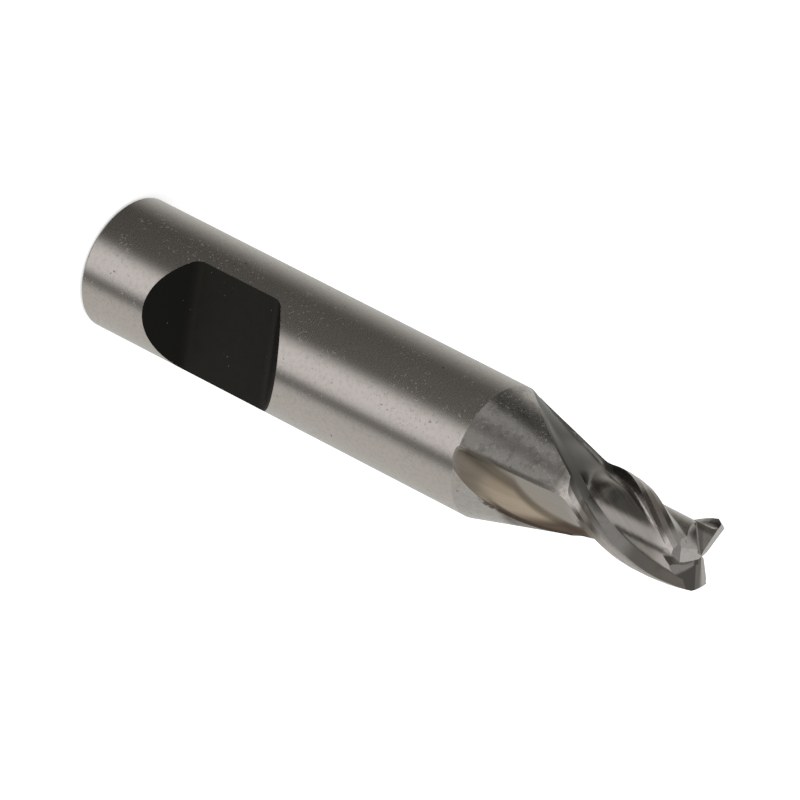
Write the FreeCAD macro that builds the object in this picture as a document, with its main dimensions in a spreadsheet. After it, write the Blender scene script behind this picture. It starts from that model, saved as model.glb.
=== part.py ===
import FreeCAD, Part
import os
from math import atan2, sqrt, tan

import Sketcher

# End mill with three helical flutes, ground from one bar. Lengths are in millimetres, angles in degrees.
# The tool stands on its shank end. +Z runs along the axis from the middle of the shank's end face to the
# cutting end, and the clamping flat faces -Y.

DIMENSIONS = [
    # shank
    ("shank_diameter", 6.0),
    ("shank_length", 21.1),
    ("shank_end_chamfer", 0.15),
    ("seam_angle", 22.5),
    # clamping flat ground across the shank
    ("flat_depth", 1.5),
    ("flat_from_end", 5.1),
    ("flat_length", 4.6),
    ("flat_wall_angle", 45.0),
    ("flat_corner_radius", 0.8),
    # cone and cutting part
    ("cone_half_angle", 15.0),
    ("cone_foot_radius", 2.0),
    ("cutting_diameter", 3.5),
    ("overall_length", 32.2),
    # flutes on a right-hand helix
    ("helix_angle", 33.0),
    ("tip_edge_angle", 24.2),
    ("core_diameter", 2.4),
    ("half_flute_angle", 48.0),
    ("rake_lean", 45.0),
    ("root_radius", 0.3),
    ("back_start_angle", 34.0),
    ("back_lean", 13.0),
    # run-out: a flute leaves the helix just below the end of the cone and rises to the surface of the shank
    ("lift_offset", 0.105),
    ("exit_offset", 0.13),
    ("blend_length", 1.24),
    ("lift_turn", 37.0),
    ("lift_floor_radius", 60.0),
    ("lift_rake_share", 0.74),
    ("exit_half_width", 0.5),
    # land behind each cutting edge: narrow round margin, then primary and secondary relief
    ("margin_angle", 8.0),
    ("land_angle", 17.0),
    ("land_drop", 0.04),
    ("relief_angle", 30.0),
    ("relief_drop", 0.15),
    ("relief_gap", 0.635),
    ("relief_fade", 0.7),
    # end teeth
    ("corner_width", 0.2),
    ("corner_height", 0.4),
    ("dish_angle", 2.0),
    ("end_edge_lead", 0.1),
    ("end_land_width", 0.66),
    ("end_land_angle", 12.0),
    ("end_relief_width", 2.2),
    ("end_relief_angle", 36.0),
    ("end_relief_dish", 7.0),
    ("gash_depth", 0.25),
    ("gash_angle", 40.0),
    ("gash_opening", 50.0),
    ("gash_corner_radius", 0.12),
]
TOOTH_COUNT = 3
HELIX_STEPS = 12
RELIEF_STEPS = 14
LIFT_SHARES = (0, 0.15, 0.3, 0.45, 0.6, 0.75, 0.88, 0.95, 1.01)  # how far each run-out section has risen
OVERRUN = 0.6        # how far a cutting shape reaches past the surface that it cuts
FADE_CLEARANCE = 0.1  # how far above the metal a fading cut ends
LINE_OVERRUN = 0.3   # how far the relief line runs on past the margin, as a share of the land

doc = FreeCAD.newDocument("EndMill")
dims = doc.addObject("Spreadsheet::Sheet", "Dims")
for row, (alias, size) in enumerate(DIMENSIONS, start=1):
    dims.set(f"A{row}", alias)
    dims.set(f"B{row}", str(size))
    dims.setAlias(f"B{row}", alias)
doc.recompute()

body = doc.addObject("PartDesign::Body", "EndMill")
body.Label = "end_mill"
origin = {feature.Role: feature for feature in body.Origin.OriginFeatures}

# Expressions that several features share
SHANK_R = "(Dims.shank_diameter / 2)"
CUT_R = "(Dims.cutting_diameter / 2)"
CORE_R = "(Dims.core_diameter / 2)"
TIP = "Dims.overall_length"
CONE_END = f"(Dims.shank_length + ({SHANK_R} - {CUT_R}) / tan(Dims.cone_half_angle))"
TWIST = f"(180 * tan(Dims.helix_angle) / (pi * {CUT_R}))"
LIFT_START = f"({CONE_END} - Dims.lift_offset)"
LIFT_END = "(Dims.shank_length - Dims.exit_offset)"
RELIEF_END = f"({CONE_END} + Dims.relief_gap)"
END_EDGE = f"(Dims.tip_edge_angle - asin(Dims.end_edge_lead / {CUT_R}) / 1 deg)"


def value(expression):
    return float(dims.evalExpression(expression))


def new_sketch(name, plane):
    sketch = body.newObject("Sketcher::SketchObject", name)
    sketch.AttachmentSupport = [(origin[plane], "")]
    sketch.MapMode = "FlatFace"
    return sketch


def turned_sketch(name, plane, angle):
    """Sketch on a plane through the axis, turned about the axis by an angle given as an expression."""
    sketch = new_sketch(name, plane)
    turn = FreeCAD.Rotation(FreeCAD.Vector(0, 1, 0), value(angle))
    sketch.AttachmentOffset = FreeCAD.Placement(FreeCAD.Vector(), turn)
    sketch.setExpression("AttachmentOffset.Rotation.Angle", angle)
    return sketch


def bind(sketch, name, expression, kind, *elements):
    """Adds a dimension to a sketch and ties it to an expression."""
    index = sketch.addConstraint(Sketcher.Constraint(kind, *elements, value(expression)))
    sketch.renameConstraint(index, name)
    sketch.setExpression(f"Constraints.{name}", expression)


def arc(centre, start, end):
    """Counter-clockwise arc between two points."""
    circle = Part.Circle(centre, FreeCAD.Vector(0, 0, 1), centre.distanceToPoint(start))
    angles = [atan2(place.y - centre.y, place.x - centre.x) for place in (start, end)]
    return Part.ArcOfCircle(circle, *angles)


def round_corner(before, corner, after, radius):
    """Centre, start and end of the arc that rounds a corner, and whether it turns left."""
    come = (corner - before).normalize()
    go = (after - corner).normalize()
    turn = atan2(come.x * go.y - come.y * go.x, come.x * go.x + come.y * go.y)
    back = radius * abs(tan(turn / 2))
    side = 1 if turn > 0 else -1
    start = corner - come * back
    end = corner + go * back
    centre = start + FreeCAD.Vector(-come.y, come.x, 0) * (radius * side)
    return centre, start, end, turn > 0


def outline(sketch, corners, rounding=None):
    """Closed outline through corners given as pairs of expressions. rounding gives radii by corner."""
    rounding = rounding or {}
    count = len(corners)
    places = [FreeCAD.Vector(value(x), value(y), 0) for x, y in corners]
    arcs = {}
    for index, radius in rounding.items():
        before, corner, after = places[index - 1], places[index], places[(index + 1) % count]
        arcs[index] = round_corner(before, corner, after, value(radius))
    lines = []
    for index in range(count):
        after = (index + 1) % count
        start = arcs[index][2] if index in arcs else places[index]
        end = arcs[after][1] if after in arcs else places[after]
        lines.append(sketch.addGeometry(Part.LineSegment(start, end)))
    for index, (x, y) in enumerate(corners):
        before, after = lines[index - 1], lines[index]
        if index in arcs:
            centre, start, end, left = arcs[index]
            ends = (start, end) if left else (end, start)
            round_arc = sketch.addGeometry(arc(centre, *ends))
            corner = sketch.addGeometry(Part.Point(places[index]), True)
            sketch.addConstraint(Sketcher.Constraint("Tangent", before, 2, round_arc, 1 if left else 2))
            sketch.addConstraint(Sketcher.Constraint("Tangent", round_arc, 2 if left else 1, after, 1))
            sketch.addConstraint(Sketcher.Constraint("PointOnObject", corner, 1, before))
            sketch.addConstraint(Sketcher.Constraint("PointOnObject", corner, 1, after))
            bind(sketch, f"radius_{index}", rounding[index], "Radius", round_arc)
        else:
            corner = after
            sketch.addConstraint(Sketcher.Constraint("Coincident", before, 2, after, 1))
        bind(sketch, f"corner_{index}_x", x, "DistanceX", -1, 1, corner, 1)
        bind(sketch, f"corner_{index}_y", y, "DistanceY", -1, 1, corner, 1)


def three_times(name, feature):
    """Repeats a cut round the axis, once for each tooth."""
    pattern = body.newObject("PartDesign::PolarPattern", name)
    pattern.Originals = [feature]
    pattern.Axis = (origin["Z_Axis"], [""])
    pattern.Angle = 360
    pattern.Occurrences = TOOTH_COUNT
    body.Tip = pattern
    doc.recompute()


def turn_solid(name, sketch):
    """Turns a profile once round the axis."""
    solid = body.newObject("PartDesign::Revolution", name)
    solid.Profile = sketch
    solid.ReferenceAxis = (sketch, ["V_Axis"])
    solid.Angle = 360
    doc.recompute()


def make_blank():
    """Turned form: chamfered shank, then a cone with a hollow foot and the cutting part with a dished end.

    The profile of the shank is turned about the axis, so that its seam line runs beside the flat.
    """
    sketch = turned_sketch("ShankProfile", "XZ_Plane", "-Dims.seam_angle")
    outline(sketch, [
        ("0", "0"),
        (f"{SHANK_R} - Dims.shank_end_chamfer", "0"),
        (SHANK_R, "Dims.shank_end_chamfer"),
        (SHANK_R, "Dims.shank_length"),
        ("0", "Dims.shank_length"),
    ])
    turn_solid("Shank", sketch)
    sketch = new_sketch("NeckProfile", "XZ_Plane")
    outline(sketch, [
        ("0", "Dims.shank_length"),
        (SHANK_R, "Dims.shank_length"),
        (CUT_R, CONE_END),
        (CUT_R, f"{TIP} - Dims.corner_height"),
        (f"{CUT_R} - Dims.corner_width", TIP),
        ("0", f"{TIP} - {CUT_R} * tan(Dims.dish_angle)"),
    ], {2: "Dims.cone_foot_radius"})
    turn_solid("Neck", sketch)


def cut_clamping_flat():
    """Flat across the shank, with sloping end walls and rounded inner corners."""
    sketch = new_sketch("FlatProfile", "YZ_Plane")
    floor = f"Dims.flat_depth - {SHANK_R}"
    outside = f"-({SHANK_R} + {OVERRUN})"
    wall_run = f"(Dims.flat_depth + {OVERRUN}) / tan(Dims.flat_wall_angle)"
    end = "Dims.flat_from_end + Dims.flat_length"
    corners = [
        (outside, f"Dims.flat_from_end - {wall_run}"),
        (floor, "Dims.flat_from_end"),
        (floor, end),
        (outside, f"{end} + {wall_run}"),
    ]
    outline(sketch, corners, {1: "Dims.flat_corner_radius", 2: "Dims.flat_corner_radius"})
    flat = body.newObject("PartDesign::Pocket", "Flat")
    flat.Profile = sketch
    flat.Midplane = True
    flat.setExpression("Length", "2 * Dims.shank_diameter")
    doc.recompute()


def edge_angle(height):
    """Direction of the first cutting edge at a height, as an expression."""
    return f"(Dims.tip_edge_angle - {TWIST} * ({TIP} - {height}))"


def section_sketch(name, height, turn):
    """Sketch across the axis at a height, turned about the axis."""
    sketch = new_sketch(name, "XY_Plane")
    sketch.setExpression("AttachmentOffset.Base.z", height)
    sketch.setExpression("AttachmentOffset.Rotation.Angle", turn)
    return sketch


def flute_section(name, height, middle, floor, floor_radius, rake_x, back_x, back_end_y):
    """Section of a flute. Local Y points through its middle and the cutting face leans out at +X."""
    sketch = section_sketch(name, height, f"{middle} - 90")
    reach = f"({SHANK_R} + {OVERRUN})"
    top = f"({floor} + {reach})"
    rake_end_x = f"({rake_x} + {reach} * tan(Dims.rake_lean))"
    radius, root = value(floor_radius), value("Dims.root_radius")
    centre = FreeCAD.Vector(0, value(floor) - radius, 0)
    foot = FreeCAD.Vector(value(rake_x), value(floor), 0)
    rake_end = FreeCAD.Vector(value(rake_end_x), value(top), 0)
    along = (rake_end - foot).normalize()
    inward = FreeCAD.Vector(-along.y, along.x, 0)
    offset = foot + inward * root - centre
    step = sqrt(offset.dot(along) ** 2 - offset.dot(offset) + (radius + root) ** 2) - offset.dot(along)
    root_centre = centre + offset + along * step
    rake_start = root_centre - inward * root
    floor_end = centre + (root_centre - centre).normalize() * radius
    back_start = FreeCAD.Vector(value(back_x), centre.y + sqrt(radius ** 2 - value(back_x) ** 2), 0)
    back_end = FreeCAD.Vector(-value(reach), value(back_end_y), 0)
    far_corner = FreeCAD.Vector(-value(reach), value(top), 0)
    floor_arc = sketch.addGeometry(arc(centre, floor_end, back_start))
    root_arc = sketch.addGeometry(arc(root_centre, floor_end, rake_start))
    rake = sketch.addGeometry(Part.LineSegment(rake_start, rake_end))
    lid = sketch.addGeometry(Part.LineSegment(rake_end, far_corner))
    side = sketch.addGeometry(Part.LineSegment(far_corner, back_end))
    back = sketch.addGeometry(Part.LineSegment(back_end, back_start))
    foot_point = sketch.addGeometry(Part.Point(foot), True)
    for constraint in (
        ("Tangent", floor_arc, 1, root_arc, 1),
        ("Tangent", root_arc, 2, rake, 1),
        ("PointOnObject", foot_point, 1, rake),
        ("Coincident", rake, 2, lid, 1),
        ("Coincident", lid, 2, side, 1),
        ("Coincident", side, 2, back, 1),
        ("Coincident", back, 2, floor_arc, 2),
    ):
        sketch.addConstraint(Sketcher.Constraint(*constraint))
    bind(sketch, "floor_radius", floor_radius, "Radius", floor_arc)
    bind(sketch, "root_radius", "Dims.root_radius", "Radius", root_arc)
    sketch.addConstraint(Sketcher.Constraint("PointOnObject", floor_arc, 3, -2))
    bind(sketch, "floor_centre_y", f"{floor} - {floor_radius}", "DistanceY", -1, 1, floor_arc, 3)
    bind(sketch, "back_start_x", back_x, "DistanceX", -1, 1, back, 2)
    for label, element, x, y in (
        ("foot", foot_point, rake_x, floor),
        ("rake_end", lid, rake_end_x, top),
        ("far_corner", side, f"-{reach}", top),
        ("back_end", back, f"-{reach}", back_end_y),
    ):
        bind(sketch, f"{label}_x", x, "DistanceX", -1, 1, element, 1)
        bind(sketch, f"{label}_y", y, "DistanceY", -1, 1, element, 1)
    return sketch


def cut_flutes():
    """Three helical flutes round a core. Each rises straight through the cone and ends on the shank."""
    reach = f"({SHANK_R} + {OVERRUN})"
    half = "Dims.half_flute_angle"
    rake_x = f"({CUT_R} * sin({half}) + ({CORE_R} - {CUT_R} * cos({half})) * tan(Dims.rake_lean))"
    back_x = f"(-{CORE_R} * sin(Dims.back_start_angle))"
    back_y = f"({CORE_R} * cos(Dims.back_start_angle) + ({reach} + {back_x}) * tan(Dims.back_lean))"
    sections = []
    for step in range(HELIX_STEPS + 1):
        top = f"({TIP} + {OVERRUN})"
        height = f"({top} - {step / HELIX_STEPS} * ({top} - {LIFT_START} - Dims.blend_length))"
        sections.append(flute_section(f"FluteHelix{step}", height, f"({edge_angle(height)} + {half})",
                                      CORE_R, CORE_R, rake_x, back_x, back_y))
    for step, share in enumerate(LIFT_SHARES):
        height = f"({LIFT_START} - {share} * ({LIFT_START} - {LIFT_END}))"
        middle = f"({edge_angle(LIFT_START)} + {half} - {share} * Dims.lift_turn)"
        floor = f"({CORE_R} + {share} * ({SHANK_R} - {CORE_R}))"
        surface = f"min({SHANK_R}, max({CUT_R}, {SHANK_R} - ({height} - Dims.shank_length)"
        surface += " * tan(Dims.cone_half_angle)))"
        half_chord = f"sqrt(max(Dims.exit_half_width ^ 2, {surface} ^ 2 - {floor} ^ 2))"
        sections.append(flute_section(f"FluteLift{step}", height, middle, floor, "Dims.lift_floor_radius",
                                      f"({half_chord} * Dims.lift_rake_share)", back_x, floor))
    flute = body.newObject("PartDesign::SubtractiveLoft", "Flute")
    flute.Profile = sections[0]
    flute.Sections = sections[1:]
    doc.recompute()
    three_times("Flutes", flute)


def relief_section(name, height, lift):
    """Section of the relief behind an edge. Local X points to the far end of the relief."""
    sketch = section_sketch(name, height, f"{edge_angle(height)} - Dims.relief_angle")
    reach = f"({SHANK_R} + {OVERRUN})"
    edge_r = f"({CUT_R} + {lift})"
    margin = "(Dims.relief_angle - Dims.margin_angle)"
    heel = "(Dims.relief_angle - Dims.land_angle)"
    heel_r = f"({edge_r} - Dims.land_drop)"
    margin_x, margin_y = f"{edge_r} * cos({margin})", f"{edge_r} * sin({margin})"
    heel_x, heel_y = f"{heel_r} * cos({heel})", f"{heel_r} * sin({heel})"
    start_x = f"({margin_x} + {LINE_OVERRUN} * ({margin_x} - {heel_x}))"
    start_y = f"({margin_y} + {LINE_OVERRUN} * ({margin_y} - {heel_y}))"
    corners = [
        (start_x, start_y),
        (heel_x, heel_y),
        (f"{edge_r} - Dims.relief_drop", "0"),
        (reach, "0"),
        (reach, reach),
        (start_x, reach),
    ]
    outline(sketch, corners)
    return sketch


def cut_reliefs():
    """Primary and secondary relief behind the three cutting edges, fading out at the cone."""
    sections = []
    for step in range(RELIEF_STEPS + 1):
        top = f"({TIP} + {OVERRUN})"
        height = f"({top} - {step / RELIEF_STEPS} * ({top} - {RELIEF_END}))"
        sections.append(relief_section(f"ReliefHelix{step}", height, "0"))
    sections.append(relief_section("ReliefFade", f"({RELIEF_END} - Dims.relief_fade)",
                                   f"(Dims.relief_drop + {FADE_CLEARANCE})"))
    relief = body.newObject("PartDesign::SubtractiveLoft", "Relief")
    relief.Profile = sections[0]
    relief.Sections = sections[1:]
    doc.recompute()
    three_times("Reliefs", relief)


def cut_along_edge(name, sketch, climb):
    """Cuts across the end along the first end cutting edge, climbing outwards at an angle."""
    cut = body.newObject("PartDesign::Pocket", name)
    cut.Profile = sketch
    cut.UseCustomVector = True
    cut.AlongSketchNormal = False
    cut.setExpression("Direction.x", f"cos({END_EDGE}) * cos({climb})")
    cut.setExpression("Direction.y", f"sin({END_EDGE}) * cos({climb})")
    cut.setExpression("Direction.z", f"sin({climb})")
    cut.setExpression("Length", "Dims.shank_diameter")
    doc.recompute()
    return cut


def cut_end_teeth():
    """Land and relief behind each end cutting edge, then the gash in front of it.

    The profiles lie square to the first edge: X points ahead of it from the axis, and Y is up.
    """
    lead = "Dims.end_edge_lead"
    top = f"({TIP} + {OVERRUN})"
    centre_z = f"({TIP} - {CUT_R} * tan(Dims.dish_angle))"
    back = f"({lead} - Dims.end_relief_width)"
    sketch = turned_sketch("EndLandProfile", "YZ_Plane", END_EDGE)
    outline(sketch, [
        (lead, centre_z),
        (lead, top),
        (back, top),
        (back, f"{centre_z} - Dims.end_relief_width * tan(Dims.end_land_angle)"),
    ])
    three_times("EndLands", cut_along_edge("EndLand", sketch, "Dims.dish_angle"))
    sketch = turned_sketch("EndReliefProfile", "YZ_Plane", END_EDGE)
    centre_drop = f"{CUT_R} * (tan(Dims.end_relief_dish) - tan(Dims.dish_angle))"
    land_back = f"({lead} - Dims.end_land_width)"
    land_back_z = f"({centre_z} - Dims.end_land_width * tan(Dims.end_land_angle) - {centre_drop})"
    outline(sketch, [
        (f"{land_back} + ({top} - {land_back_z}) / tan(Dims.end_relief_angle)", top),
        (back, top),
        (back, f"{land_back_z} - ({land_back} - {back}) * tan(Dims.end_relief_angle)"),
    ])
    three_times("EndReliefs", cut_along_edge("EndRelief", sketch, "Dims.end_relief_dish"))
    sketch = turned_sketch("GashProfile", "YZ_Plane", END_EDGE)
    bottom = f"({centre_z} - Dims.gash_depth)"
    rise = f"(Dims.gash_depth + {CUT_R} * tan(Dims.gash_angle) + {OVERRUN})"
    outline(sketch, [
        (lead, bottom),
        (f"{lead} + {rise} * tan(Dims.gash_opening)", f"{bottom} + {rise}"),
        (lead, f"{bottom} + {rise}"),
    ], {0: "Dims.gash_corner_radius"})
    three_times("Gashes", cut_along_edge("Gash", sketch, "-Dims.gash_angle"))


def check_document():
    """Stops when a feature failed, or when the finished part is not one sound solid."""
    for feature in doc.Objects:
        if "Invalid" in feature.State or "Error" in feature.State:
            raise RuntimeError(f"{feature.Name} failed: {feature.State}")
        if feature.isDerivedFrom("PartDesign::Feature"):
            if feature.Shape.isNull() or not feature.Shape.isValid():
                raise RuntimeError(f"{feature.Name} has no sound shape")
    if len(body.Shape.Solids) != 1 or not body.Shape.isValid():
        raise RuntimeError(f"{body.Label} is not one sound solid")


make_blank()
cut_clamping_flat()
cut_flutes()
cut_reliefs()
cut_end_teeth()
doc.recompute()
check_document()
os.makedirs("parts", exist_ok=True)
body.Shape.exportStep(f"parts/{body.Label}.step")
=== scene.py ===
import math

import bpy
from mathutils import Matrix, Vector


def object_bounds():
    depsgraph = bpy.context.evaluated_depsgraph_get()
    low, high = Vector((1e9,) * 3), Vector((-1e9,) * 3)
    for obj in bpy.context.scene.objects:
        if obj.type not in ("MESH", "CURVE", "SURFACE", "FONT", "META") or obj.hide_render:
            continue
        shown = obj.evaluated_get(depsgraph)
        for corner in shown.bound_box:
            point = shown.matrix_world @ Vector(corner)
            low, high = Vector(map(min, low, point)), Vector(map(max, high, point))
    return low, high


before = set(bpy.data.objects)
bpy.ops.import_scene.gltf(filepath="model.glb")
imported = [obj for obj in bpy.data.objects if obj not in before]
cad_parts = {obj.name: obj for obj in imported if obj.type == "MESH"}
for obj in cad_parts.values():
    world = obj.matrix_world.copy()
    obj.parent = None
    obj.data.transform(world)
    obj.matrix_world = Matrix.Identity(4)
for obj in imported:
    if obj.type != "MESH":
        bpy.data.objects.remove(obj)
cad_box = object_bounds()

# Looks of the end mill. Lengths are in metres in the frame's axes, and in millimetres where a name ends in
# _MM or a comment says so. Angles are in degrees.
MM = 0.001

# The turned form that the flutes and the flat were cut into: shank, cone and cutting part. The shank is the
# widest, so the frame's box gives its radius.
SHANK_R_MM = float(cad_box[1][0]) / MM
SHANK_TOP_MM = 21.1
CONE_ANGLE = 15
CUT_R_MM = 1.75

# The flutes' way up the tool: run-outs that turn slowly, and a helix above them
RUN_OUT_TOP_MM = 25.66
RUN_OUT_LENGTH_MM = 4.69
RUN_OUT_TURN = 37
HELIX_ANGLE = 33

# Areas of the material, each by its edges along some measures. Two numbers are an area's outer and inner
# edge, and it goes on from there. Four add the inner and the outer edge at its other end. z is the height
# and depth lies below the turned form, both in mm. outward is about 1 on the turned form and less where a
# face is tilted from it, and face_z is 1 on a face that looks up the tool. A sector is an angle with the
# flutes' turn taken off, and the cosines of the angles from there to its two edges. An area's colour covers
# what lies under it by the area's strength, or wholly where none is given.
# Painted shade: a dark line on the rim at the shank's foot
RIM_SHADE_AREA = dict(z=(0.17, 0.13), strength=0.8)
FLAT_AREA = dict(z=(3.2, 3.25, 11.6, 11.65))
CONE_AREA = dict(z=(SHANK_TOP_MM, SHANK_TOP_MM + 0.1, 25.8, 26.4))
FLUTES_AREA = dict(z=(20.7, 20.8))
RUN_OUTS_AREA = dict(z=(27.5, 25.8))

# By these the material knows that a point lies in a cut
BELOW_FORM = dict(depth=(0.03, 0.05))
WELL_BELOW_FORM = dict(depth=(0.06, 0.13))
TILTED_IN_FLAT = dict(outward=(0.95, 0.90))
TILTED_IN_FLUTE = dict(outward=(0.93, 0.88))

# The near run-out, the dim part of painted shade and the light wall of the other one in view, and the marks
# by their edges, among them painted shade along the run-outs' steep edges
NEAR_RUN_OUT_AREA = dict(sector=(-91, 0.2, 0.6))
# Painted shade: the lower part of the other run-out in view made dimmer
DIM_SHADE_AREA = dict(sector=(137, 0.82, 0.93), z=(24.9, 23.7))
FAR_WALL_AREA = dict(sector=(137, 0.75, 0.8), outward=(0.55, 0.45))
# Painted shade on the run-outs' steep edge walls
EDGE_SHADE_AREA = dict(z=(22.4, 23.2, 25.6, 26.4), depth=(0.14, 0.08), outward=(0.45, 0.6), strength=0.85)
LINE_AREA = dict(z=(21.3, 21.5, 24.6, 26.0), strength=0.62)
NICKS_AREA = dict(z=(22.2, 22.5, 23.6, 24.4), strength=0.85)
BURN_AREA = dict(sector=(-39, 0.82, 0.94), z=(22.9, 23.5, 26.3, 26.7))

# The cutting part: a stained flute, two darker lands, painted shade on the relief behind the lowest tooth
# and painted shade in the gashes
STAIN_AREA = dict(sector=(137, 0.2, 0.6), z=(26.0, 27.0, 30.2, 31.2), outward=(0.8, 0.95))
LOWER_LAND_AREA = dict(sector=(-162, 0.82, 0.92), z=(26.7, 27.0, 27.4, 28.5), depth=(0.22, 0.16))
MIDDLE_LAND_AREA = dict(sector=(82, 0.94, 0.97), z=(28.6, 29.2, 31.0, 31.4), depth=(0.20, 0.14))
# Painted shade on the relief behind the lowest tooth, a face tilted inward
LOWER_RELIEF_SHADE_AREA = dict(sector=(-174, 0.90, 0.96), z=(29.0, 29.7), outward=(0.72, 0.66))
RELIEF_END_AREA = dict(z=(30.4, 30.9))
# Painted shade on the gashes' walls, in the recesses at the tip
GASH_SHADE_AREA = dict(
    z=(30.4, 31.2), depth=(0.10, 0.25, 0.7, 0.9), face_z=(0.5, 0.3), outward=(0.5, 0.42), strength=0.7
)

# Patches, each by the values of a noise between which it fades in, the noise's settings and its strength
MOTTLE_NOISE = dict(scale=5.5, detail=5.0, roughness=0.65)
MOTTLE = dict(edges=(0.44, 0.70), strength=0.30, **MOTTLE_NOISE)
PITS = dict(edges=(0.72, 0.76), scale=4.0, detail=2.0, strength=0.7)
DULL_PATCHES = dict(edges=(0.46, 0.66), scale=2.3, detail=5.0, roughness=0.6, strength=0.52)
# Painted glints: bright patches on the cone
GLINT_PATCHES = dict(edges=(0.55, 0.68), scale=6.5, detail=4.0, roughness=0.7, strength=0.5)
FLECKS = dict(edges=(0.64, 0.70), scale=7.0, detail=1.0)
NICK_PATCHES = dict(edges=(0.36, 0.56), scale=5.0, detail=2.0)
SPECKS = dict(edges=(0.80, 0.83), scale=9.0, detail=1.0)

# Values between which three effects fade in: flecks by the cloud noise, the lighter tan by the streaks, and
# the painted shade on the flat's walls by how far a wall of the flat looks along the tool
FLECKED_CLOUD = (0.47, 0.56)
LIGHT_STREAKS = (0.38, 0.60)
OXIDE_WALL_SHADE_TILT = (0.2, 0.5)

# The cone's dull patches and painted glints: the middle of the side that has most, about the tool's axis,
# with the cosines of that side's edges, and how strong they are away from it and on it
CONE_PATCHES_AND_GLINTS_SIDE = (-138, 0.4, 0.7)
CONE_PATCHES_AND_GLINTS_STRENGTH = (0.3, 1.0)

# Narrow marks, with the angles from their middle to their outer and inner edges. The line lies straight
# along the cone. The crease, painted shade in the run-out's concave corner, and the nicks keep their angle
# along the flute up to a height, and turn on above it by so many degrees for each mm.
LINE_AT = -109.3
LINE_EDGES = (4.7, 1)
CREASE_FROM_MM = 23.6
CREASE_AT = -106
CREASE_TURN = 20
CREASE_SHADE_EDGES = (13, 2)
NICKS_FROM_MM = 22.0
NICKS_AT = -72.5
NICKS_TURN = 5.5
NICKS_EDGES = (4, 1.5)

# Angles from the crease between which tan goes over into the plain side of the near run-out, and how strong
# the crease's painted shade and the burn are where the noise that follows the flutes is low and where it is
# high
PLAIN_SIDE_EDGES = (3, -9)
CREASE_SHADE_STRENGTH = (0.55, 1.0)
BURN_STRENGTH = (0.75, 1.0)

# Base colours. Where there are two, a noise or a height takes one into the other.
STEEL_COLOURS = ((0.53, 0.515, 0.495), (0.58, 0.56, 0.54))
MOTTLE_COLOUR = (0.36, 0.35, 0.335)
PIT_COLOUR = (0.16, 0.155, 0.15)
DULL_COLOUR = (0.27, 0.255, 0.235)
# Colour of the painted glints on the cone
GLINT_COLOUR = (0.86, 0.84, 0.80)
# Colour of the painted shade on the rim
RIM_SHADE_COLOUR = (0.11, 0.11, 0.105)
TAN_COLOURS = ((0.42, 0.365, 0.30), (0.55, 0.482, 0.405))
PLAIN_SIDE_COLOURS = ((0.41, 0.39, 0.362), (0.49, 0.466, 0.433))
# Colour of the painted shade in the near run-out's concave corner
CREASE_SHADE_COLOUR = (0.165, 0.145, 0.115)
GREY_COLOURS = ((0.19, 0.189, 0.180), (0.22, 0.218, 0.207))
# Colour of the painted shade on that run-out
DIM_SHADE_COLOUR = (0.15, 0.15, 0.145)
FAR_WALL_COLOUR = (0.37, 0.365, 0.35)
# Colour of the painted shade on the run-outs' edges
EDGE_SHADE_COLOUR = (0.085, 0.075, 0.06)
LINE_COLOUR = (0.10, 0.095, 0.08)
NICKS_COLOUR = (0.09, 0.08, 0.065)
BURN_COLOUR = (0.105, 0.08, 0.066)
STAIN_COLOURS = ((0.27, 0.26, 0.245), (0.40, 0.39, 0.37))
LOWER_LAND_COLOUR = (0.22, 0.205, 0.18)
MIDDLE_LAND_COLOUR = (0.27, 0.25, 0.23)
# Colours of the painted shade on that relief, which go from one to the other by height
LOWER_RELIEF_SHADE_COLOURS = ((0.30, 0.28, 0.255), (0.19, 0.18, 0.17))
# Colour of the painted shade in the gashes
GASH_SHADE_COLOUR = (0.13, 0.115, 0.10)
OXIDE_COLOURS = ((0.0035, 0.0035, 0.0022), (0.0085, 0.0085, 0.0055))
# Colour of the painted shade on the flat's end walls
OXIDE_WALL_SHADE_COLOUR = (0.002, 0.002, 0.0012)
SPECK_COLOUR = (0.18, 0.18, 0.17)

# Gloss: the steel's and the flutes' roughness go between two numbers by a noise
STEEL_ROUGHNESS = (0.22, 0.30)
FLUTE_ROUGHNESS = (0.17, 0.29)
DULL_ROUGHNESS = 0.5
FLECK_DULLNESS = 0.7
SPECULAR_LEVEL = 0.25
# Painted shade: less reflection on the dim part of that run-out
DIM_SHADE_SPECULAR_TINT = (0.6, 0.6, 0.59)

# Fine relief: its depth, and the shares in it of the lines round the shank, the grain, the flecks and the
# lines in the flutes
BUMP_MM = 0.0025
RINGS_SHARE = 0.4
GRAIN_SHARE = 0.6
FLECKS_SHARE = 0.6
LINES_SHARE = 0.5

# Scale of the space of those lines: they are stretched along it below 1 and squeezed above it
RINGS_ROUND_SHANK = 0.25
RINGS_ALONG_SHANK = 9.0
LINES_ALONG_FLUTE = 0.05

# Shares of fine lines and broad bands in the streaks of the near run-out
STREAK_LINES = 0.4
STREAK_BANDS = 0.6

# Camera of the photograph: a long lens that looks down on the standing tool, turned on its side. Sensor and
# lens are in mm.
CAMERA_TARGET_MM = (-0.05, 0.03, 15.584)
CAMERA_AZIMUTH = -120.59
CAMERA_ELEVATION = 32.738
CAMERA_ROLL = -117.171
CAMERA_DISTANCE = 0.38757
CAMERA_CLIP = 0.01
SENSOR_WIDTH = 36.0
CAMERA_LENS = 415.76

# Floor and light. Each lamp has an azimuth from the camera's side, an elevation and watts.
FLOOR_SIZE = 4.0
FLOOR_COLOUR = (0.8, 0.8, 0.8)
FLOOR_GLOW = 0.5
WORLD_COLOUR = (0.6, 0.6, 0.6)
WHITE = (1, 1, 1)
LAMP_AIM_MM = (0, 0, 16)
LAMP_DISTANCE = 0.9
LAMP_SIZE = 0.6
LAMPS = (
    ("key_lamp", 20, 60, 3.0),
    ("fill_lamp", 150, 40, 1.0),
)

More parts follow.
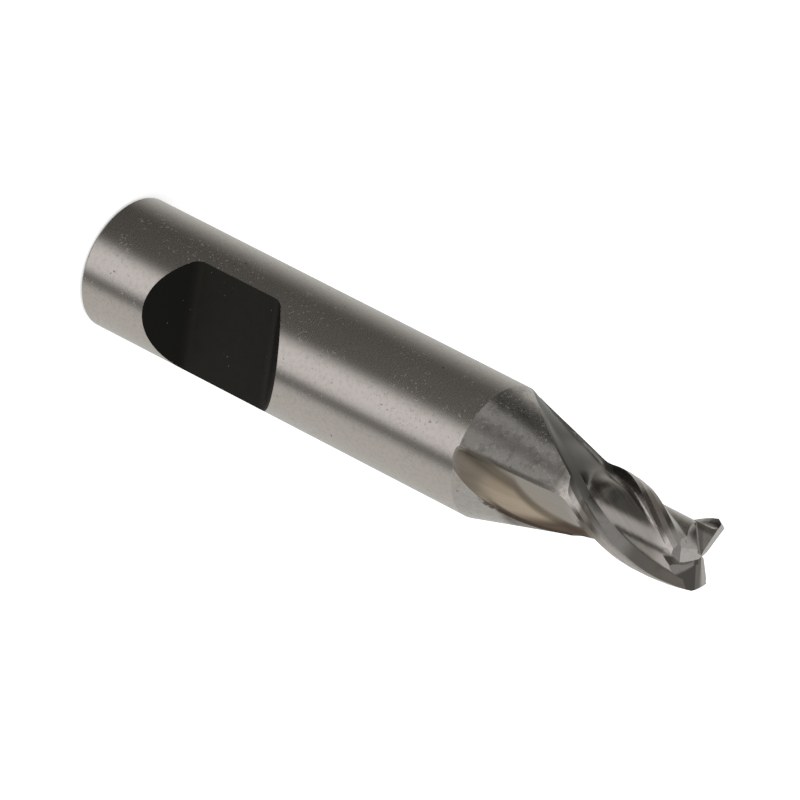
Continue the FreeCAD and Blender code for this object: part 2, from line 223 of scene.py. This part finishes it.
# What the tool's gloss sees: a dim room, and cards given by their colour, their azimuths from the camera's
# side and their elevations, as edges like those of the areas. None sets no limit.
ROOM_COLOUR = (0.34, 0.335, 0.325)
STUDIO = (
    ((0.685, 0.652, 0.612), None, (-8, -24)),
    ((0.66, 0.655, 0.63), (125, 152, 208, 235), None),
    ((0.60, 0.585, 0.565), (40, 60, 120, 140), (-30, -15, -4, 2)),
    ((0.66, 0.62, 0.555), (48, 58, 120, 140), (-6, 2, 14, 26)),
    ((0.02, 0.02, 0.018), (-122, -100, -70, -56), (-20, -14, -2, 8)),
    ((0.12, 0.115, 0.108), (-40, -31, -15, -8), (-10, -7, 2, 6)),
    ((0.055, 0.0525, 0.046), (-156, -84, -23, 6), (-22, -30)),
    ((0.96, 0.91, 0.895), (-17, 9, 34, 50), (-80, -60, -20, -8)),
    ((0.12, 0.115, 0.11), (38, 50, 59, 70), (-80, -60, -24, -12)),
    ((0.06, 0.06, 0.055), None, (-62, -80)),
)


class Nodes:
    """Short forms for building a node tree."""

    def __init__(self, tree):
        self.tree = tree
        tree.nodes.clear()

    def new(self, kind, **settings):
        node = self.tree.nodes.new("ShaderNode" + kind)
        for name, setting in settings.items():
            setattr(node, name, setting)
        return node

    def put(self, socket, value):
        if isinstance(value, bpy.types.NodeSocket):
            self.tree.links.new(value, socket)
        elif isinstance(value, (tuple, list)) and len(value) == 3 and socket.type == "RGBA":
            socket.default_value = (*value, 1.0)
        else:
            socket.default_value = value

    def math(self, operation, *values):
        node = self.new("Math", operation=operation)
        for socket, value in zip(node.inputs, values):
            self.put(socket, value)
        return node.outputs[0]

    def product(self, *values):
        total = values[0]
        for value in values[1:]:
            total = self.math("MULTIPLY", total, value)
        return total

    def ramp(self, value, outer, inner):
        """0 up to the outer edge, 1 from the inner one on; either may be the larger."""
        node = self.new("MapRange", interpolation_type="SMOOTHSTEP")
        self.put(node.inputs["Value"], value)
        if outer < inner:
            ends = (outer, inner, 0.0, 1.0)
        else:
            ends = (inner, outer, 1.0, 0.0)
        for name, end in zip(("From Min", "From Max", "To Min", "To Max"), ends):
            node.inputs[name].default_value = end
        return node.outputs["Result"]

    def fade(self, value, edges):
        """1 inside an area with two or four edges, 0 outside it."""
        share = self.ramp(value, edges[0], edges[1])
        if len(edges) == 4:
            share = self.product(share, self.ramp(value, edges[3], edges[2]))
        return share

    def sector(self, angle, middle, outer, inner):
        """1 where an angle is near its middle. The edges are cosines of the angles from there."""
        apart = self.math("SUBTRACT", angle, math.radians(middle))
        return self.ramp(self.math("COSINE", apart), outer, inner)

    def apart(self, angle, middle):
        """The angle from a middle, between minus and plus half a turn."""
        return self.math("WRAP", self.math("SUBTRACT", angle, middle), math.pi, -math.pi)

    def mark(self, apart, edges):
        """1 on a narrow mark, by the angle from its middle and the edges at either side."""
        return self.ramp(self.math("ABSOLUTE", apart), *(math.radians(edge) for edge in edges))

    def between(self, low, high, share):
        """A number that goes from low to high as share goes from 0 to 1."""
        node = self.new("Mix", data_type="FLOAT")
        self.put(node.inputs[0], share)
        self.put(node.inputs[2], low)
        self.put(node.inputs[3], high)
        return node.outputs[0]

    def tint(self, first, second, share):
        """A colour that goes from the first to the second as share goes from 0 to 1."""
        node = self.new("Mix", data_type="RGBA")
        self.put(node.inputs[0], share)
        self.put(node.inputs[6], first)
        self.put(node.inputs[7], second)
        return node.outputs[2]

    def noise(self, vector, scale, detail=3.0, roughness=0.5):
        node = self.new("TexNoise")
        self.put(node.inputs["Vector"], vector)
        node.inputs["Scale"].default_value = scale
        node.inputs["Detail"].default_value = detail
        node.inputs["Roughness"].default_value = roughness
        return node.outputs["Fac"]

    def split(self, vector):
        node = self.new("SeparateXYZ")
        self.put(node.inputs[0], vector)
        return node.outputs

    def vector(self, x, y, z):
        node = self.new("CombineXYZ")
        for socket, value in zip(node.inputs, (x, y, z)):
            self.put(socket, value)
        return node.outputs[0]


class Spot:
    """A point on the tool: its measures in mm and radians, the cuts that it lies in and its textures."""

    def __init__(self, n):
        self.n = n
        scaled = n.new("VectorMath", operation="SCALE")
        n.put(scaled.inputs[0], n.new("TexCoord").outputs["Object"])
        scaled.inputs["Scale"].default_value = 1 / MM
        self.place = scaled.outputs[0]
        self.measure()
        self.find_cuts()
        self.add_textures()

    def measure(self):
        """Place about the axis, depth below the turned form, tilt, and angle along the flutes."""
        n = self.n
        x, y, self.z = n.split(self.place)
        self.radius = n.math("SQRT", n.math("ADD", n.product(x, x), n.product(y, y)))
        self.angle = n.math("ARCTAN2", y, x)

        above_shank = n.math("SUBTRACT", self.z, SHANK_TOP_MM)
        cone = n.math("SUBTRACT", SHANK_R_MM, n.product(above_shank, math.tan(math.radians(CONE_ANGLE))))
        form = n.math("MINIMUM", SHANK_R_MM, n.math("MAXIMUM", cone, CUT_R_MM))
        self.depth = n.math("SUBTRACT", form, self.radius)

        face_x, face_y, self.face_z = n.split(n.new("NewGeometry").outputs["True Normal"])
        outward = n.math("ADD", n.product(face_x, x), n.product(face_y, y))
        self.outward = n.math("DIVIDE", outward, self.radius)

        # Angle with the flutes' turn taken off: it stays the same along a flute
        helix_turn = math.tan(math.radians(HELIX_ANGLE)) / CUT_R_MM
        run_out_turn = math.radians(RUN_OUT_TURN) / RUN_OUT_LENGTH_MM
        helix = n.product(n.math("MAXIMUM", self.z, RUN_OUT_TOP_MM), helix_turn)
        run_out = n.product(n.math("MINIMUM", self.z, RUN_OUT_TOP_MM), run_out_turn)
        self.along_flute = n.math("SUBTRACT", self.angle, n.math("ADD", helix, run_out))

    def find_cuts(self):
        """A point is in a cut where it lies below the turned form, or where its face is tilted from it."""
        n = self.n
        below = self.area(**BELOW_FORM)
        in_flutes = self.area(**FLUTES_AREA)
        self.cut = n.math("MAXIMUM", below, self.area(**TILTED_IN_FLUTE))
        in_flat = n.math("MAXIMUM", below, self.area(**TILTED_IN_FLAT))
        self.flat = n.product(self.area(**FLAT_AREA), in_flat)
        self.flute = n.product(in_flutes, self.area(**WELL_BELOW_FORM))
        self.run_out = n.product(in_flutes, self.cut, self.area(**RUN_OUTS_AREA))
        # Where the painted shade of the dim part lies
        self.dim = n.product(self.area(**DIM_SHADE_AREA), self.cut)

    def add_textures(self):
        """Noises in the tool's own space, and streaks that follow the flutes."""
        n = self.n
        self.cloud = n.noise(self.place, scale=0.55)
        self.flecks = n.product(self.patches(**FLECKS), n.ramp(self.cloud, *FLECKED_CLOUD))

        across = n.math("SINE", self.along_flute), n.math("COSINE", self.along_flute)
        flute_place = n.vector(*across, n.product(self.z, LINES_ALONG_FLUTE))
        self.lines = n.noise(flute_place, scale=9.0, roughness=0.6)
        bands = n.noise(flute_place, scale=3.0, detail=1.0)
        self.streaks = n.math("ADD", n.product(self.lines, STREAK_LINES), n.product(bands, STREAK_BANDS))

    def area(self, sector=None, strength=None, **measures):
        """The strength of an area, or 1, inside it and 0 outside it, by a row of the table of areas."""
        shares = [self.n.fade(getattr(self, name), edges) for name, edges in measures.items()]
        if sector:
            shares.append(self.n.sector(self.along_flute, *sector))
        if strength:
            shares.append(strength)
        return self.n.product(*shares)

    def patches(self, edges, strength=None, **noise):
        """The strength of patches, or 1, where their noise is high and 0 between them."""
        shares = [self.n.ramp(self.n.noise(self.place, **noise), *edges)]
        if strength:
            shares.append(strength)
        return self.n.product(*shares)

    def from_mark(self, from_mm, at, turn):
        """Angle from a mark that keeps its angle along the flute up to a height and turns on above it."""
        n = self.n
        above = n.math("MAXIMUM", n.math("SUBTRACT", self.z, from_mm), 0.0)
        middle = n.math("ADD", n.product(above, math.radians(turn)), math.radians(at))
        return n.apart(self.along_flute, middle)


def steel_colour(n, spot):
    """Bright steel, mottled and pitted, with dull patches and painted glints on the cone and painted shade
    on the rim at the shank's end.
    """
    colour = n.tint(*STEEL_COLOURS, spot.cloud)
    colour = n.tint(colour, MOTTLE_COLOUR, spot.patches(**MOTTLE))
    colour = n.tint(colour, PIT_COLOUR, spot.patches(**PITS))
    patches_and_glints = n.between(*CONE_PATCHES_AND_GLINTS_STRENGTH, n.sector(spot.angle, *CONE_PATCHES_AND_GLINTS_SIDE))
    on_cone = n.product(spot.area(**CONE_AREA), patches_and_glints)
    colour = n.tint(colour, DULL_COLOUR, n.product(spot.patches(**DULL_PATCHES), on_cone))
    # Painted glints on the cone
    colour = n.tint(colour, GLINT_COLOUR, n.product(spot.patches(**GLINT_PATCHES), on_cone))
    # Painted shade on the rim at the shank's end
    return n.tint(colour, RIM_SHADE_COLOUR, spot.area(**RIM_SHADE_AREA))


def near_run_out_colour(n, spot):
    """Tan and streaked on one side of a crease of painted shade in the concave corner, plainer on the
    other.
    """
    tan = n.tint(*TAN_COLOURS, n.ramp(spot.streaks, *LIGHT_STREAKS))
    plain = n.tint(*PLAIN_SIDE_COLOURS, spot.lines)
    from_crease = spot.from_mark(CREASE_FROM_MM, CREASE_AT, CREASE_TURN)
    plain_side = n.ramp(from_crease, *(math.radians(edge) for edge in PLAIN_SIDE_EDGES))
    # Painted shade along the crease, where the run-out's floor meets its wall
    crease_shade = n.product(n.mark(from_crease, CREASE_SHADE_EDGES), n.between(*CREASE_SHADE_STRENGTH, spot.lines))
    return n.tint(n.tint(tan, plain, plain_side), CREASE_SHADE_COLOUR, crease_shade)


def other_run_outs_colour(n, spot):
    """Grey, with painted shade on the lower part of one run-out and its wall lighter."""
    colour = n.tint(*GREY_COLOURS, spot.lines)
    # Painted shade on the lower part of that run-out
    colour = n.tint(colour, DIM_SHADE_COLOUR, spot.dim)
    return n.tint(colour, FAR_WALL_COLOUR, spot.area(**FAR_WALL_AREA))


def with_edge_marks(n, spot, colour):
    """Adds painted shade on the run-outs' steep edges, and the line, the nicks and the burn by the near
    run-out.
    """
    # Painted shade on steep walls just below the form along the run-outs' edges
    colour = n.tint(colour, EDGE_SHADE_COLOUR, n.product(spot.cut, spot.area(**EDGE_SHADE_AREA)))
    line = n.mark(n.apart(spot.angle, math.radians(LINE_AT)), LINE_EDGES)
    colour = n.tint(colour, LINE_COLOUR, n.product(line, spot.area(**LINE_AREA)))
    nicks = n.mark(spot.from_mark(NICKS_FROM_MM, NICKS_AT, NICKS_TURN), NICKS_EDGES)
    nicks = n.product(nicks, spot.patches(**NICK_PATCHES), spot.area(**NICKS_AREA))
    colour = n.tint(colour, NICKS_COLOUR, nicks)
    burn = n.product(spot.area(**BURN_AREA), n.between(*BURN_STRENGTH, spot.lines))
    return n.tint(colour, BURN_COLOUR, burn)


def with_tooth_marks_and_shade(n, spot, colour):
    """Adds the stained flute, the darker lands, and painted shade on the lowest tooth's relief and in the
    gashes.
    """
    stain = n.product(spot.area(**STAIN_AREA), spot.flute)
    colour = n.tint(colour, n.tint(*STAIN_COLOURS, spot.lines), stain)
    colour = n.tint(colour, LOWER_LAND_COLOUR, spot.area(**LOWER_LAND_AREA))
    colour = n.tint(colour, MIDDLE_LAND_COLOUR, spot.area(**MIDDLE_LAND_AREA))
    # Painted shade on the lowest tooth's relief
    relief_shade = n.tint(*LOWER_RELIEF_SHADE_COLOURS, spot.area(**RELIEF_END_AREA))
    colour = n.tint(colour, relief_shade, spot.area(**LOWER_RELIEF_SHADE_AREA))
    # Painted shade in the gashes
    return n.tint(colour, GASH_SHADE_COLOUR, spot.area(**GASH_SHADE_AREA))


def oxide_colour(n, spot):
    """Black oxide of the clamping flat, with painted shade on its sloping end walls and a few bright
    specks.
    """
    colour = n.tint(*OXIDE_COLOURS, n.noise(spot.place, scale=2.0, detail=4.0))
    # Painted shade on the flat's sloping end walls
    wall_shade = n.ramp(n.math("ABSOLUTE", spot.face_z), *OXIDE_WALL_SHADE_TILT)
    colour = n.tint(colour, OXIDE_WALL_SHADE_COLOUR, wall_shade)
    return n.tint(colour, SPECK_COLOUR, spot.patches(**SPECKS))


def steel_roughness(n, spot):
    """Duller flecks and oxide on glossier steel, with the flutes glossy in streaks."""
    rough = n.between(*STEEL_ROUGHNESS, n.noise(spot.place, **MOTTLE_NOISE))
    rough = n.between(rough, DULL_ROUGHNESS, n.product(spot.flecks, FLECK_DULLNESS))
    rough = n.between(rough, n.between(*FLUTE_ROUGHNESS, spot.lines), spot.flute)
    return n.between(rough, DULL_ROUGHNESS, spot.flat)


def steel_bump(n, spot):
    """Fine lines round the shank, grain and flecks, and lines along the flutes."""
    around = n.product(spot.angle, SHANK_R_MM, RINGS_ROUND_SHANK)
    ring_place = n.vector(around, n.product(spot.z, RINGS_ALONG_SHANK), spot.radius)
    rings = n.noise(ring_place, scale=2.2, detail=4.0)
    grain = n.noise(spot.place, scale=11.0, roughness=0.6)
    height = n.math("ADD", n.product(rings, RINGS_SHARE), n.product(grain, GRAIN_SHARE))
    height = n.math("ADD", height, n.product(spot.flecks, FLECKS_SHARE))
    height = n.between(height, n.product(spot.lines, LINES_SHARE), spot.flute)
    bump = n.new("Bump")
    bump.inputs["Strength"].default_value = 1.0
    bump.inputs["Distance"].default_value = BUMP_MM * MM
    n.put(bump.inputs["Height"], height)
    return bump.outputs[0]


def ground_steel():
    """Ground steel: bright shank and cone, streaked run-outs and flutes, black oxide on the flat."""
    material = bpy.data.materials.new("ground_steel")
    material.use_nodes = True
    n = Nodes(material.node_tree)
    spot = Spot(n)

    near = spot.area(**NEAR_RUN_OUT_AREA)
    run_outs = n.tint(other_run_outs_colour(n, spot), near_run_out_colour(n, spot), near)
    colour = n.tint(steel_colour(n, spot), run_outs, spot.run_out)
    colour = with_edge_marks(n, spot, colour)
    colour = with_tooth_marks_and_shade(n, spot, colour)
    colour = n.tint(colour, oxide_colour(n, spot), spot.flat)

    shader = n.new("BsdfPrincipled")
    shader.inputs["Specular IOR Level"].default_value = SPECULAR_LEVEL
    n.put(shader.inputs["Metallic"], n.math("SUBTRACT", 1.0, spot.flat))
    n.put(shader.inputs["Base Color"], colour)
    # Painted shade: the dim part's reflection is tinted darker
    n.put(shader.inputs["Specular Tint"], n.tint(WHITE, DIM_SHADE_SPECULAR_TINT, spot.dim))
    n.put(shader.inputs["Roughness"], steel_roughness(n, spot))
    n.put(shader.inputs["Normal"], steel_bump(n, spot))
    n.put(n.new("OutputMaterial").inputs["Surface"], shader.outputs[0])
    return material


def seen(n, *kinds):
    """1 for the kinds of ray named, 0 for the rest."""
    path = n.new("LightPath")
    share = path.outputs[f"Is {kinds[0]} Ray"]
    for kind in kinds[1:]:
        share = n.math("MAXIMUM", share, path.outputs[f"Is {kind} Ray"])
    return share


def pale_floor():
    """Diffuse floor material that keeps the tool's shadow and glows a little for the camera."""
    material = bpy.data.materials.new("pale_floor")
    material.use_nodes = True
    n = Nodes(material.node_tree)
    plain = n.new("BsdfDiffuse")
    n.put(plain.inputs["Color"], FLOOR_COLOUR)
    glow = n.new("Emission")
    n.put(glow.inputs["Color"], WHITE)
    n.put(glow.inputs["Strength"], n.product(seen(n, "Camera", "Glossy", "Transmission"), FLOOR_GLOW))
    both = n.new("AddShader")
    n.put(both.inputs[0], plain.outputs[0])
    n.put(both.inputs[1], glow.outputs[0])
    n.put(n.new("OutputMaterial").inputs["Surface"], both.outputs[0])
    return material


def make_floor():
    """Plain pale floor. The tool's gloss sees the studio's cards in its place."""
    bpy.ops.mesh.primitive_plane_add(size=FLOOR_SIZE, location=(0, 0, 0))
    floor = bpy.context.object
    floor.name = "floor"
    floor.data.materials.append(pale_floor())
    floor.visible_glossy = False


def card_share(n, azimuth, elevation, azimuths, elevations):
    """1 on a card and 0 beside it. The azimuth is in degrees about the tool's axis."""
    shares = []
    if elevations:
        shares.append(n.fade(elevation, elevations))
    if azimuths:
        middle = (azimuths[0] + azimuths[3]) / 2
        apart = n.math("WRAP", n.math("SUBTRACT", azimuth, CAMERA_AZIMUTH + middle), 180.0, -180.0)
        shares.append(n.fade(apart, [edge - middle for edge in azimuths]))
    return n.product(*shares)


def studio_colour(n):
    """What gloss sees by direction: an even room with the soft-edged cards of STUDIO in it."""
    x, y, z = n.split(n.new("TexCoord").outputs["Generated"])
    azimuth = n.math("DEGREES", n.math("ARCTAN2", y, x))
    elevation = n.math("DEGREES", n.math("ARCSINE", z))
    colour = ROOM_COLOUR
    for card_colour, azimuths, elevations in STUDIO:
        colour = n.tint(colour, card_colour, card_share(n, azimuth, elevation, azimuths, elevations))
    return colour


def make_world():
    """Even pale light. The camera sees white, and gloss sees the studio's cards."""
    world = bpy.data.worlds.new("studio")
    bpy.context.scene.world = world
    world.use_nodes = True
    n = Nodes(world.node_tree)
    background = n.new("Background")
    colour = n.tint(WORLD_COLOUR, studio_colour(n), seen(n, "Glossy"))
    n.put(background.inputs["Color"], n.tint(colour, WHITE, seen(n, "Camera", "Transmission")))
    n.put(n.new("OutputWorld").inputs["Surface"], background.outputs[0])


def direction(azimuth, elevation):
    """Unit vector from the tool, by an azimuth about its axis and an elevation."""
    around = math.radians(azimuth)
    up = math.radians(elevation)
    return Vector((math.cos(around) * math.cos(up), math.sin(around) * math.cos(up), math.sin(up)))


def make_lamp(name, azimuth, elevation, watts):
    """Soft square lamp, placed by its direction from the tool and hidden from gloss."""
    lamp = bpy.data.lights.new(name, "AREA")
    lamp.shape = "SQUARE"
    lamp.size = LAMP_SIZE
    lamp.energy = watts
    thing = bpy.data.objects.new(name, lamp)
    thing.location = direction(CAMERA_AZIMUTH + azimuth, elevation) * LAMP_DISTANCE
    target = Vector(LAMP_AIM_MM) * MM
    thing.rotation_euler = (target - thing.location).to_track_quat("-Z", "Y").to_euler()
    thing.visible_glossy = False
    bpy.context.scene.collection.objects.link(thing)


def make_camera():
    """Camera at the photograph's place, with its roll and lens."""
    data = bpy.data.cameras.new("camera")
    data.sensor_width = SENSOR_WIDTH
    data.lens = CAMERA_LENS
    data.clip_start = CAMERA_CLIP
    camera = bpy.data.objects.new("camera", data)
    out = direction(CAMERA_AZIMUTH, CAMERA_ELEVATION)
    place = Matrix.Translation(Vector(CAMERA_TARGET_MM) * MM + out * CAMERA_DISTANCE)
    level = out.to_track_quat("Z", "Y").to_matrix().to_4x4()
    camera.matrix_world = place @ level @ Matrix.Rotation(math.radians(-CAMERA_ROLL), 4, "Z")
    bpy.context.scene.collection.objects.link(camera)
    bpy.context.scene.camera = camera


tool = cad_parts["end_mill"]
tool.material_slots[0].material = ground_steel()

make_floor()
make_world()
for lamp in LAMPS:
    make_lamp(*lamp)
make_camera()

bpy.context.scene.view_settings.view_transform = "Standard"
